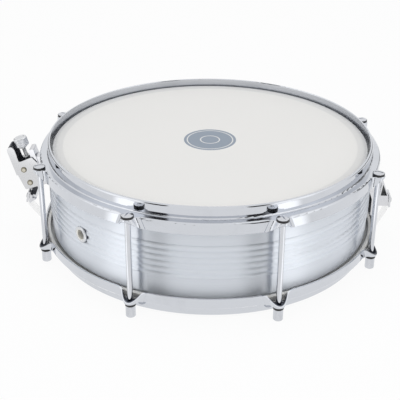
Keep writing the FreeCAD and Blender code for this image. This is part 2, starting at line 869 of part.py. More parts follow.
def clamp_screws():
    screws = []
    top = tail_t + strap_space + jaw_t
    for side in (-1, 1):
        shank = rod(jaw_screw_r, *jaw_screw_line(0, top, side))
        head = rod(jaw_screw_head_r, *jaw_screw_line(top, top + jaw_screw_head_t, side))
        screws.append(strainer_place(fuse([shank, head])))
    return screws


def snare_wires():
    wires = []
    for index in range(wire_count):
        y = (index - (wire_count - 1) / 2) * wire_pitch
        wires.append(rod(wire_r, V(-wire_half_length, y, wire_z),
                         V(wire_half_length, y, wire_z)))
    return wires


def plate_screw_places(side):
    middle = side * (wire_half_length + end_plate_length / 2)
    return [V(middle, y, 0) for y in (-plate_screw_half, plate_screw_half)]


def end_plates():
    """The two plates that the wires are soldered to, each drilled for two screws."""
    plates = []
    low = wire_z - end_plate_t / 2
    for side in (-1, 1):
        left = min(side * wire_half_length, side * (wire_half_length + end_plate_length))
        plate = Part.makeBox(end_plate_length, 2 * end_plate_half, end_plate_t,
                             V(left, -end_plate_half, low))
        holes = [rod(plate_screw_r + screw_gap, place + V(0, 0, low - overrun),
                     place + V(0, 0, low + end_plate_t + overrun))
                 for place in plate_screw_places(side)]
        plates.append(plate.cut(holes))
    return plates


def plate_screws():
    screws = []
    seat = strap_level - strap_t / 2 - strap_level_gap
    for side in (-1, 1):
        for place in plate_screw_places(side):
            shank = rod(plate_screw_r, place + V(0, 0, seat),
                        place + V(0, 0, wire_z + end_plate_t / 2))
            head = rod(plate_screw_head_r, place + V(0, 0, seat - plate_screw_head_t),
                       place + V(0, 0, seat))
            screws.append(fuse([shank, head]))
    return screws


def strap(side, clamp_points):
    """A flat band from under an end plate, out through the gate and up to a clamp."""
    plate_end = wire_half_length + end_plate_length
    route = [(wire_half_length, strap_level), (plate_end + strap_lead, strap_level),
             (skirt_r + strap_skirt_gap, strap_level + strap_bend_rise)] + clamp_points
    above = []
    below = []
    for i, point in enumerate(route):
        back = route[max(i - 1, 0)]
        ahead = route[min(i + 1, len(route) - 1)]
        normals = []
        for one, two in ((back, point), (point, ahead)):
            length = math.hypot(two[0] - one[0], two[1] - one[1])
            if length > 0:
                normals.append(((one[1] - two[1]) / length, (two[0] - one[0]) / length))
        first, last = normals[0], normals[-1]
        share = 1 / (1 + first[0] * last[0] + first[1] * last[1])
        shift = ((first[0] + last[0]) * share * strap_t / 2,
                 (first[1] + last[1]) * share * strap_t / 2)
        inner = 0 < i < len(route) - 1
        above.append((side * (point[0] + shift[0]), point[1] + shift[1],
                      strap_round - strap_t / 2 if inner else 0))
        below.append((side * (point[0] - shift[0]), point[1] - shift[1],
                      strap_round + strap_t / 2 if inner else 0))
    band = slab(above + below[::-1], -strap_half, strap_half)
    holes = [rod(plate_screw_r + open_gap, place, place + V(0, 0, mid_z))
             for place in plate_screw_places(side)]
    return band.cut(holes)


def strainer_strap():
    start, stop, along, normal = tail_frame()
    middle = tail_t + strap_space / 2
    low = stop + normal * middle
    high = low - along * strap_grip
    low = low + along * tail_t
    points = [strainer_point(low.x, low.z), strainer_point(high.x, high.z)]
    clear = [rod(jaw_screw_r + open_gap, *jaw_screw_line(0, tail_t + jaw_t + overrun, s))
             for s in (-1, 1)]
    return strap(-1, points).cut([strainer_place(hole) for hole in clear])


def butt_strap():
    middle = butt_end_r + strap_space / 2
    points = [(middle, butt_jaw_low_z - tail_t), (middle, butt_jaw_low_z + strap_grip)]
    clear = [rod(jaw_screw_r + open_gap, V(butt_heel_r, side, butt_screw_z),
                 V(butt_end_r + overrun, side, butt_screw_z))
             for side in (-butt_screw_half, butt_screw_half)]
    return strap(1, points).cut(clear)


def butt_gasket():
    low = butt_low_z + butt_gasket_low_inset
    high = butt_high_z - butt_gasket_high_inset
    pad = slab([(shell_in_r - overrun, low), (butt_seat_r, low), (butt_seat_r, high),
                (shell_in_r - overrun, high)], -butt_plate_half, butt_plate_half)
    return pad.cut([shell_plug()] + butt_mount_holes())


def butt_mount_holes():
    return [rod(mount_screw_r + screw_gap, V(shell_in_r - 2 * overrun, side, butt_mount_z),
                V(butt_end_r + overrun, side, butt_mount_z))
            for side in (-butt_mount_half, butt_mount_half)]


def butt_bracket():
    """A plate on the shell with an arm block and a wedge with a pocket in each side."""
    face = butt_face_r
    low = butt_low_z
    high = butt_high_z
    plate = slab([(butt_seat_r, low), (face, low), (face, high), (butt_seat_r, high)],
                 -butt_plate_half, butt_plate_half)
    under = high - butt_arm_height
    arm = slab([(face - butt_round, high), (butt_end_r, high, butt_round),
                (butt_end_r, under, butt_round), (butt_heel_r, under, butt_heel),
                (face - butt_round, low + butt_round)], -butt_half, butt_half)
    peak = high + butt_peak_rise
    wedge = slab([(butt_wedge_r, high - butt_round), (butt_peak_r, peak),
                  (butt_peak_r + butt_peak_width, peak),
                  (butt_end_r, high - butt_round)], -butt_half, butt_half)
    share = butt_pocket_share
    slope_in = butt_peak_r - butt_wedge_r
    slope_out = butt_end_r - butt_peak_r - butt_peak_width
    ceiling = high + butt_peak_rise * share
    pockets = []
    for side in (-1, 1):
        ends = sorted([side * butt_wall / 2, side * (butt_half + overrun)])
        pockets.append(slab([
            (butt_wedge_r + butt_wall, high),
            (butt_wedge_r + butt_wall + slope_in * share, ceiling),
            (butt_end_r - butt_wall - slope_out * share, ceiling),
            (butt_end_r - butt_wall, high)], *ends))
    body = fuse([plate, arm, wedge]).cut(pockets + butt_mount_holes())
    taps = [rod(jaw_screw_r + screw_gap,
                V(butt_heel_r + butt_wall, side, butt_screw_z),
                V(butt_end_r + overrun, side, butt_screw_z))
            for side in (-butt_screw_half, butt_screw_half)]
    return body.cut(taps)


def butt_jaw():
    low_r = butt_end_r + strap_space
    high_r = low_r + butt_jaw_t
    jaw = slab([(low_r, butt_jaw_low_z), (high_r, butt_jaw_low_z, jaw_round),
                (high_r, butt_jaw_high_z, jaw_round), (low_r, butt_jaw_high_z)],
               -butt_half, butt_half)
    holes = [rod(jaw_screw_r + screw_gap, V(butt_heel_r, side, butt_screw_z),
                 V(high_r + overrun, side, butt_screw_z))
             for side in (-butt_screw_half, butt_screw_half)]
    return jaw.cut(holes)


def butt_jaw_screws():
    screws = []
    seat = butt_end_r + strap_space + butt_jaw_t
    height = butt_screw_z
    for side in (-butt_screw_half, butt_screw_half):
        shank = rod(jaw_screw_r, V(butt_heel_r + butt_wall + screw_gap, side, height),
                    V(seat, side, height))
        head = rod(jaw_screw_head_r, V(seat, side, height),
                   V(seat + jaw_screw_head_t, side, height))
        screws.append(fuse([shank, head]))
    return screws


def butt_screws():
    """Two screws through the plate, gasket and shell, with their heads outside."""
    screws = []
    seat = butt_face_r
    tip = butt_nut_seat() - butt_nut_t - mount_screw_r / 2
    for side in (-butt_mount_half, butt_mount_half):
        shank = rod(mount_screw_r, V(tip, side, butt_mount_z), V(seat, side, butt_mount_z))
        head = rod(mount_screw_head_r, V(seat, side, butt_mount_z),
                   V(seat + mount_screw_head_t, side, butt_mount_z))
        screws.append(fuse([shank, head]))
    return screws


def butt_nut_seat():
    """Radius at which the outer corner of a nut meets the inside of the shell."""
    far = butt_mount_half + butt_nut_r
    return math.sqrt(shell_in_r ** 2 - far ** 2)


def butt_nuts():
    nuts = []
    seat = butt_nut_seat()
    for side in (-butt_mount_half, butt_mount_half):
        corners = []
        for index in range(6):
            angle = math.radians(60 * index)
            corners.append(V(seat - butt_nut_t, side + butt_nut_r * math.cos(angle),
                             butt_mount_z + butt_nut_r * math.sin(angle)))
        face = Part.Face(Part.makePolygon(corners + corners[:1]))
        nut = face.extrude(V(butt_nut_t, 0, 0))
        hole = rod(mount_screw_r + running_gap,
                   V(seat - butt_nut_t - overrun, side, butt_mount_z),
                   V(seat + overrun, side, butt_mount_z))
        nuts.append(nut.cut(hole))
    return nuts


os.makedirs("parts", exist_ok=True)
save("shell", shell())
save("batter_hoop", hoop())
save("snare_side_hoop", lower_hoop())
save("batter_head", head_film())
save("snare_side_head", flipped(head_film()))
save("batter_flesh_hoop", flesh_hoop())
save("snare_side_flesh_hoop", flipped(flesh_hoop()))
for number, piece in enumerate(at_rods(tension_rod()), start=1):
    save("tension_rod_%d" % number, piece)
save("rod_head_washers", at_rods(head_washer()))
save("rod_nut_washers", at_rods(nut_washer()))
save("tension_nuts", at_rods(tension_nut()))
save("vent_eyelet", vent_eyelet())
save("strainer_base", strainer_base())
save("strainer_gasket", strainer_gasket())
save("strainer_screws", strainer_screws())
save("strainer_washers", strainer_washers())
save("throw_lever", throw_lever())
save("lever_pivot_rivets", pivot_rivets())
save("lever_cross_pin", cross_pin())
save("strainer_carriage", carriage())
save("adjuster_screw", adjuster_screw())
save("adjuster_knob", adjuster_knob())
save("clamp_slide", clamp_slide())
save("clamp_jaw", clamp_jaw())
save("clamp_jaw_screws", clamp_screws())
save("snare_wires", snare_wires())
save("snare_end_plates", end_plates())
save("end_plate_screws", plate_screws())
save("strainer_strap", strainer_strap())
save("butt_strap", butt_strap())
save("butt_gasket", butt_gasket())
save("butt_bracket", butt_bracket())
save("butt_jaw", butt_jaw())
save("butt_jaw_screws", butt_jaw_screws())
save("butt_screws", butt_screws())
save("butt_nuts", butt_nuts())
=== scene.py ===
import math

import bpy
from mathutils import Matrix, Vector


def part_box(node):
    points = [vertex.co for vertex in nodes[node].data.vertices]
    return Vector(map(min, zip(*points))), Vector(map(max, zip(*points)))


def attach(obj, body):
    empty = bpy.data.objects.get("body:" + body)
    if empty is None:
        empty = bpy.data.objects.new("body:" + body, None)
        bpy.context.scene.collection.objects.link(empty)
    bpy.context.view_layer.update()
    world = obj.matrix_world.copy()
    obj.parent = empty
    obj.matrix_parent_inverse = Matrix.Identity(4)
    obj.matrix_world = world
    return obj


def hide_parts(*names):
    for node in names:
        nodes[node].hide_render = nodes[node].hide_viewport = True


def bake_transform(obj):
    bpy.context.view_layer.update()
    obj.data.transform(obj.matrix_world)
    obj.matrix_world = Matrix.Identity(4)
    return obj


# The looks of a twelve-inch samba snare drum: chromed hoops, rods and strainer, a satin
# beaded shell, milky heads, coiled snares and clear bands. Lengths are in metres, in the
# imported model's frame: Z up the drum's axis, the strainer at -X, the side in the photo at -Y.

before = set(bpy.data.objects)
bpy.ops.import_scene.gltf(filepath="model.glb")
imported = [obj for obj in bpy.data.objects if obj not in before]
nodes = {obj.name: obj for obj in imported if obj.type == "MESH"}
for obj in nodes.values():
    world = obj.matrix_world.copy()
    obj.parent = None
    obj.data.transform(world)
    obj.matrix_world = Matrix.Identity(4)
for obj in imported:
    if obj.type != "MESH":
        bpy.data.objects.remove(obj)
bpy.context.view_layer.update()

MM = 0.001

# Camera
CAMERA_PLACE = Vector((0.018224, -0.791832, 0.442218))
CAMERA_FORWARD = Vector((-0.03080226, 0.88851042, -0.45782141))
CAMERA_ROLL = math.radians(0.2655)
CAMERA_LENS = 81.64
CAMERA_SENSOR = 36.0

# Drum sizes that the looks need
DRUM_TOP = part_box("batter_head")[1].z
DRUM_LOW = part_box("snare_side_head")[0].z
DRUM_MIDDLE = (DRUM_TOP + DRUM_LOW) / 2
ROD_COUNT = 8
ROD_FIRST_ANGLE = math.radians(22.5 - 90)
ROD_CIRCLE_R = 163.5 * MM

# The hoops: half heights from the drum's middle, and the ears' bulge out of the skirt
HOOP_INSIDE_R = 158.9 * MM
SKIRT_HALF = 39.6 * MM
SKIRT_R = 160.0 * MM
STEP_HALF = 40.85 * MM
EAR_REACH = 9.4 * MM
EAR_FACE_HALF = 9.8 * MM
EAR_SPREAD = 0.408
EAR_BLEND = 4.5 * MM
EAR_HOLLOW_INSET = 0.8 * MM

# The batter head: the edge that bends over the shell, where the film gets painted shade, and the
# print in its middle
FILM_BEND_START_R = 137.5 * MM
FILM_BEND_R = 139.5 * MM
FILM_EDGE_START_R = 143.0 * MM
FILM_EDGE_R = 146.5 * MM
PRINT_R = 24.6 * MM
PRINT_OUTER_RING_R = 21.6 * MM
PRINT_INNER_RING_R = 9.0 * MM
PRINT_LINE_HALF = 0.45 * MM

# Small marks: the vent's bore that is painted as lit, the painted highlight and painted shade on
# the pins' ends, and soft edges
VENT_BORE_R = 4.6 * MM
PIN_HIGHLIGHT_R = 1.0 * MM
PIN_SHADE_R = 2.4 * MM
SOFT = 0.2 * MM
FINE_SOFT = 0.1 * MM

WHOLE_TURN = 2 * math.pi
CREASE = math.radians(32)

# The strainer's own frame: v outward and u up the lean, from the lever's pivot
STRAINER_R = 173.8 * MM
STRAINER_Z = 53.8 * MM
STRAINER_LEAN = math.radians(16)
SCREW_V = -4.0 * MM
CROSS_PIN_V = 1.1 * MM
CROSS_PIN_U = 14.4 * MM
COLLAR_LOW_U = 22.6 * MM
COLLAR_HIGH_U = 25.4 * MM
KNOB_LOW_U = 35.7 * MM
KNOB_HIGH_U = 44.7 * MM
CLAMP_TAIL = (8.6, 0, -15.2)
CLAMP_STOP = Vector((7.0 * MM, 0, -21.4 * MM))
JAW_SCREW_UP = 5.75 * MM
JAW_SCREW_OUT = 5.1 * MM
JAW_SCREW_ASIDE = 4.4 * MM
LEVER_INSIDE_HALF = 7.2 * MM
LEVER_BACK_V = 8.3 * MM
CLAMP_WEB_HALF = 0.55 * MM
BUTT_WEB_HALF = 0.65 * MM

# Snare unit and its clear bands, as points (radius, height) of their middle lines
SNARE_COUNT = 10
SNARE_PITCH = 3.4 * MM
SNARE_HALF_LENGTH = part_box("snare_wires")[1].x
SNARE_Z = (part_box("snare_wires")[0].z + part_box("snare_wires")[1].z) / 2
BAND_HALF = 7.0 * MM
BAND_THICKNESS = 0.5 * MM
BAND_BEND = 3.0 * MM
BAND_START = [(126.0 * MM, 7.25 * MM), (138.5 * MM, 7.25 * MM), (161.6 * MM, 8.9 * MM)]
STRAINER_BAND = BAND_START + [(177.87 * MM, 29.61 * MM), (175.20 * MM, 40.69 * MM)]
BUTT_BAND = BAND_START + [(172.95 * MM, 32.2 * MM), (172.95 * MM, 43.6 * MM)]

# Where the bands are cut in pieces, as shares of their points
GATE_SHARE = 0.42
CLAMP_SHARE = 0.66

# Studio. Its directions are told from 0 to 1, by how far aside and how high a ray looks.
FLOOR_HALF = 4.0
FLOOR_PLAIN_SHARE = 0.93
STRIPE_TURN = math.radians(54)
STRIPE_MIDDLE = -64.0 * MM
STRIPE_HALF = 24.0 * MM
STRIPE_SOFT = 34.0 * MM
STRIPE_START_R = 185.0 * MM
STRIPE_FULL_R = 225.0 * MM
STRIPE_LIGHT = 0.6
ROOM_LIGHT = 0.52
FRONT_HEIGHT = 0.38
GAP_SIDE = 0.575
BOX_SIDE = 0.80
BACK_HEIGHT = 0.17
BOX_LEAN = 0.15
BOX_LIGHT = 0.35
GAP_DARK = 0.95
BACK_DARK = 0.8


class Field:
    """A value that varies over a surface; arithmetic on it adds the Math nodes for it."""

    def __init__(self, finish, socket):
        self.finish = finish
        self.socket = socket

    def maths(self, operation, *terms):
        return self.finish.node("ShaderNodeMath", {"operation": operation},
                                dict(enumerate(terms)))

    def __add__(self, other):
        return self.maths("ADD", self, other)

    def __sub__(self, other):
        return self.maths("SUBTRACT", self, other)

    def __rsub__(self, other):
        return self.maths("SUBTRACT", other, self)

    def __mul__(self, other):
        return self.maths("MULTIPLY", self, other)

    def __truediv__(self, other):
        return self.maths("DIVIDE", self, other)

    def __pow__(self, other):
        return self.maths("POWER", self, other)

    __radd__ = __add__
    __rmul__ = __mul__


class Finish:
    """A shader tree that is being made, of a material or of the world."""

    def __init__(self, tree):
        self.tree = tree

    def node(self, kind, settings={}, sockets={}, output=0):
        made = self.tree.nodes.new(kind)
        for name, value in settings.items():
            setattr(made, name, value)
        for key, value in sockets.items():
            self.feed(made.inputs[key], value)
        return Field(self, made.outputs[output])

    def feed(self, socket, value):
        if isinstance(value, Field):
            self.tree.links.new(value.socket, socket)
        else:
            socket.default_value = value

    def colour(self, factor, first, second):
        """The first colour at factor 0 and the second at 1."""
        return self.node("ShaderNodeMix", {"data_type": "RGBA"},
                         {0: factor, 6: rgba(first), 7: rgba(second)}, 2)

    def place(self):
        """Where a point of the piece is, in the drum's own frame."""
        return self.node("ShaderNodeTexCoord", output=3)

    def stretched(self, vector, scale):
        """Places scaled by a factor on each axis, for grain that runs one way."""
        return self.node("ShaderNodeVectorMath", {"operation": "MULTIPLY"},
                         {0: vector, 1: scale})

    def parts(self, vector):
        """The three parts of a vector, each as a value."""
        split = self.node("ShaderNodeSeparateXYZ", {}, {0: vector})
        outputs = split.socket.node.outputs
        return [Field(self, outputs[i]) for i in range(3)]

    def noise(self, vector, scale, detail=2.0, roughness=0.5):
        return self.node("ShaderNodeTexNoise", {},
                         {"Vector": vector, "Scale": scale, "Detail": detail,
                          "Roughness": roughness})

    def smooth(self, value, low, high):
        """0 below low and 1 above high, with soft ends."""
        return self.node("ShaderNodeMapRange", {"interpolation_type": "SMOOTHSTEP"},
                         {"Value": value, "From Min": low, "From Max": high})

    def band(self, value, middle, half, soft):
        """1 within half of the middle, falling to 0 over soft."""
        return 1 - self.smooth(self.size_of(value - middle), half, half + soft)

    def size_of(self, value):
        """A value with no sign."""
        return self.node("ShaderNodeMath", {"operation": "ABSOLUTE"}, {0: value})

    def bump(self, height, distance, strength=1.0):
        return self.node("ShaderNodeBump", {},
                         {"Strength": strength, "Distance": distance, "Height": height})


class Surface(Finish):
    """A material with one main shader, whose plain sockets are set by constants."""

    def __init__(self, name, constants):
        self.material = bpy.data.materials.new(name)
        self.material.use_nodes = True
        super().__init__(self.material.node_tree)
        self.shader = self.tree.nodes["Principled BSDF"]
        for socket, value in constants.items():
            self.shader.inputs[socket].default_value = value

    def set(self, **sockets):
        """Feed the main shader's sockets; base_color is its Base Color."""
        for key, value in sockets.items():
            self.feed(self.shader.inputs[key.replace("_", " ").title()], value)
        return self.material


def rgba(colour):
    if isinstance(colour, Field):
        return colour
    return (*colour, 1.0)


def distance(first, second):
    """How far a place is from the middle, by two fields at right angles."""
    return (first * first + second * second) ** 0.5


# Finishes

def chrome(name, tint, gloss=0.04, smudge=0.05, wave=1.0, patches=()):
    """Bright chrome plate: a little uneven from the press, with faint handling marks.
    A patch is (mark, tint, metal), and where mark(finish, place) is 1 the plating takes
    the patch's tint, rougher and less metallic: duller plating inside the hoops, and
    painted shade in the ears' hollows, the lever's channel and the clamps' pockets."""
    finish = Surface(name, {"Metallic": 1.0})
    place = finish.place()
    marks = finish.smooth(finish.noise(place, 55.0, 5.0, 0.62), 0.45, 0.75)
    hairs = finish.noise(finish.stretched(place, (900.0, 900.0, 60.0)), 1.0, 3.0)
    plate = finish.noise(place, 70.0, 2.0)
    shade = tuple(part * 0.955 for part in tint)
    plating = finish.colour(marks, tint, shade)
    gloss = marks * smudge + hairs * 0.02 + gloss
    metallic = 1.0
    # Each patch paints its tint over the plating; the dark ones are painted shade.
    for mark, patch_tint, metal in patches:
        inside = mark(finish, place)
        plating = finish.colour(inside, plating, patch_tint)
        gloss = gloss + inside * 0.3
        metallic = metallic - inside * (1.0 - metal)
    return finish.set(
        base_color=plating,
        metallic=metallic,
        roughness=gloss,
        normal=finish.bump(plate + hairs * 0.05, 9e-6 * wave))


def inside_of_hoop(finish, place):
    """The inner face of a hoop's skirt, next to the flesh hoop."""
    x, y, z = finish.parts(place)
    radius = distance(x, y)
    inside = 1 - finish.smooth(radius, HOOP_INSIDE_R, HOOP_INSIDE_R + SOFT)
    return inside * finish.band(z, DRUM_MIDDLE, SKIRT_HALF, FINE_SOFT)


def inside_of_ears(finish, place):
    """The hollow of each ear behind its round wall, which stays in shadow."""
    x, y, z = finish.parts(place)
    sector = WHOLE_TURN / ROD_COUNT
    turned = (x.maths("ARCTAN2", y, x) - ROD_FIRST_ANGLE) / sector
    aside = (turned - x.maths("ROUND", turned)) * sector
    radius = distance(x, y)
    forward = radius * x.maths("COSINE", aside)
    sideways = radius * x.maths("SINE", aside)
    depth = finish.size_of(z - DRUM_MIDDLE)
    foot = (STEP_HALF - depth) * EAR_SPREAD + EAR_FACE_HALF
    span = (foot * foot + EAR_REACH ** 2) / (2 * EAR_REACH) - EAR_BLEND
    ahead = forward - (SKIRT_R + EAR_REACH - span)
    hollow = 1 - finish.smooth(distance(ahead, sideways) - span, -EAR_HOLLOW_INSET,
                               SOFT - EAR_HOLLOW_INSET)
    hollow = hollow * finish.smooth(radius, HOOP_INSIDE_R, HOOP_INSIDE_R + SOFT)
    return hollow * finish.band(depth, 0.0, SKIRT_HALF, FINE_SOFT)


def inside_of_lever(finish, place):
    """The lever's channel between its cheeks, in front of its outer wall, which gets painted
    shade.
    """
    x, y, z = finish.parts(place)
    cosine = -math.cos(STRAINER_LEAN)
    sine = -math.sin(STRAINER_LEAN)
    out = (x + STRAINER_R) * cosine + (z - STRAINER_Z) * sine
    between = finish.band(y, 0.0, LEVER_INSIDE_HALF, FINE_SOFT)
    return between * (1 - finish.smooth(out, LEVER_BACK_V, LEVER_BACK_V + SOFT))


def sides_of_web(web_half):
    """The mark for both sides of a clamp's middle web, which lie in its pockets and get painted
    shade.
    """
    def mark(finish, place):
        y = finish.parts(place)[1]
        return finish.band(finish.size_of(y), web_half, 0.05 * MM, 0.03 * MM)
    return mark


def spun_aluminium():
    """The shell's satin sheet, with the fine rings that the lathe leaves round it."""
    finish = Surface("shell_satin_aluminium", {"Metallic": 1.0, "Anisotropic": 1.0,
                                               "Anisotropic Rotation": 0.25})
    place = finish.place()
    rings = finish.noise(finish.stretched(place, (1.5, 1.5, 2600.0)), 1.0, 4.0, 0.65)
    broad = finish.noise(finish.stretched(place, (1.0, 1.0, 180.0)), 1.0, 2.0)
    cloud = finish.noise(place, 7.0, 2.0, 0.5)
    tone = rings * 0.6 + broad * 0.25 + cloud * 0.15
    return finish.set(
        base_color=finish.colour(tone, (0.73, 0.77, 0.84), (0.895, 0.93, 0.975)),
        roughness=rings * 0.08 + cloud * 0.03 + 0.37,
        normal=finish.bump(rings + broad * 0.5, 2.5e-6))


def drawn_aluminium():
    """The flesh hoops' bare aluminium, dull and a little warm."""
    finish = Surface("flesh_hoop_aluminium", {"Metallic": 0.45})
    place = finish.place()
    rings = finish.noise(finish.stretched(place, (9.0, 9.0, 1500.0)), 1.0, 3.0, 0.6)
    stain = finish.noise(place, 40.0, 4.0, 0.6)
    return finish.set(
        base_color=finish.colour(stain, (0.70, 0.69, 0.66), (0.86, 0.85, 0.82)),
        roughness=rings * 0.12 + 0.30,
        normal=finish.bump(rings, 1.2e-5))


def batter_film():
    """Milky film with a soft sheen, a plain printed disc with two rings, and painted shade that
    greys the film where it bends over the edge.
    """
    finish = Surface("batter_milky_film", {"Specular IOR Level": 0.42})
    place = finish.place()
    x, y, z = finish.parts(place)
    away = distance(x, y)
    grain = finish.noise(place, 1500.0, 3.0, 0.6)
    cloud = finish.noise(place, 9.0, 3.0, 0.5)
    film = finish.colour(cloud * 0.6 + grain * 0.4, (0.795, 0.79, 0.775),
                         (0.84, 0.835, 0.82))
    disc = finish.band(away, 0.0, PRINT_R, 0.25 * MM)
    outer_ring = finish.band(away, PRINT_OUTER_RING_R, PRINT_LINE_HALF, SOFT)
    inner_ring = finish.band(away, PRINT_INNER_RING_R, PRINT_LINE_HALF, SOFT)
    ink = disc * (1 - (outer_ring + inner_ring) * 0.85)
    # Painted shade: the film greys from the bend over the bearing edge outwards.
    painted_edge_shade = finish.smooth(away, FILM_BEND_START_R, FILM_BEND_R) * 0.45
    painted_edge_shade = painted_edge_shade + finish.smooth(away, FILM_EDGE_START_R, FILM_EDGE_R) * 0.55
    film = finish.colour(painted_edge_shade, film, (0.62, 0.625, 0.63))
    return finish.set(
        base_color=finish.colour(ink, film, (0.245, 0.295, 0.365)),
        roughness=grain * 0.10 + cloud * 0.05 + 0.36 - ink * 0.08,
        normal=finish.bump(grain * 0.3 + ink * 0.7, 1.5e-5))


def resonant_film():
    """The thin snare-side film, hazy and partly clear."""
    finish = Surface("snare_side_hazy_film", {"Specular IOR Level": 0.5})
    place = finish.place()
    haze = finish.noise(place, 12.0, 4.0, 0.6)
    grain = finish.noise(place, 900.0, 2.0)
    return finish.set(
        base_color=finish.colour(haze, (0.78, 0.78, 0.77), (0.84, 0.84, 0.83)),
        roughness=haze * 0.10 + 0.22,
        alpha=haze * 0.2 + 0.62,
        normal=finish.bump(grain, 5e-6))


def vent_nickel():
    """The eyelet's bright flange, and its bore painted pale beige with faint darker stains, as
    painted light from the drum's lit inside seen through the vent.
    """
    finish = Surface("vent_nickel_and_painted_lit_bore", {})
    place = finish.place()
    x, y, z = finish.parts(place)
    across = (x - y) * math.sqrt(0.5)
    away = distance(across, z - DRUM_MIDDLE)
    bore = 1 - finish.smooth(away, VENT_BORE_R, VENT_BORE_R + 2 * SOFT)
    stain = finish.noise(place, 500.0, 3.0, 0.6)
    # Painted light: the bore is pale beige, rough and barely metallic, for the lit inside of the
    # drum.
    inside = finish.colour(stain, (0.95, 0.94, 0.88), (0.86, 0.84, 0.77))
    return finish.set(
        base_color=finish.colour(bore, (0.66, 0.67, 0.69), inside),
        metallic=1 - bore * 0.8,
        roughness=stain * 0.08 + bore * 0.35 + 0.06,
        normal=finish.bump(stain, 8e-6))


def black_plastic(name, gloss):
    """Moulded black washers, slightly grey where they are rubbed."""
    finish = Surface(name, {"Specular IOR Level": 0.45})
    place = finish.place()
    grain = finish.noise(place, 2200.0, 3.0, 0.6)
    rub = finish.smooth(finish.noise(place, 260.0, 3.0), 0.55, 0.75)
    return finish.set(
        base_color=finish.colour(rub, (0.012, 0.012, 0.013), (0.05, 0.05, 0.052)),
        roughness=grain * 0.15 + gloss,
        normal=finish.bump(grain, 1.5e-5))


def turned_brass(name, tint, dull, centre=None):
    """Brass with a light stain; a pin's end gets a painted highlight at its centre that fades to
    painted shade towards its rim.
    """
    finish = Surface(name, {"Metallic": 1.0})
    place = finish.place()
    stain = finish.noise(place, 420.0, 4.0, 0.6)
    if centre:
        x, y, z = finish.parts(place)
        away = distance(x - centre[0], z - centre[1])
        # Painted highlight and shade: light at the pin's centre, darkening towards its rim.
        stain = stain * 0.4 + finish.smooth(away, PIN_HIGHLIGHT_R, PIN_SHADE_R) * 0.9
    return finish.set(
        base_color=finish.colour(stain, tint, dull),
        roughness=stain * 0.18 + 0.18,
        normal=finish.bump(finish.noise(place, 1500.0, 2.0), 8e-6))


def zinc_steel(name, tint=(0.62, 0.63, 0.64)):
    """Plated steel screws and nuts, brushed and lightly spotted."""
    finish = Surface(name, {"Metallic": 1.0})
    place = finish.place()
    spot = finish.smooth(finish.noise(place, 700.0, 4.0, 0.6), 0.5, 0.8)
    brush = finish.noise(finish.stretched(place, (300.0, 2600.0, 2600.0)), 1.0, 3.0)
    shade = tuple(part * 0.8 for part in tint)
    return finish.set(
        base_color=finish.colour(spot, tint, shade),
        roughness=spot * 0.1 + brush * 0.1 + 0.18,
        normal=finish.bump(brush, 8e-6))


def clear_band():
    """Clear flexible plastic, a little yellow and scuffed along its length."""
    finish = Surface("clear_plastic_band", {"Specular IOR Level": 0.5})
    place = finish.place()
    scuff = finish.noise(finish.stretched(place, (120.0, 1800.0, 400.0)), 1.0, 4.0, 0.6)
    cloud = finish.noise(place, 90.0, 2.0)
    return finish.set(
        base_color=finish.colour(cloud, (0.80, 0.81, 0.80), (0.88, 0.89, 0.87)),
        roughness=scuff * 0.2 + 0.12,
        alpha=scuff * 0.10 + 0.05,
        normal=finish.bump(scuff, 8e-6))


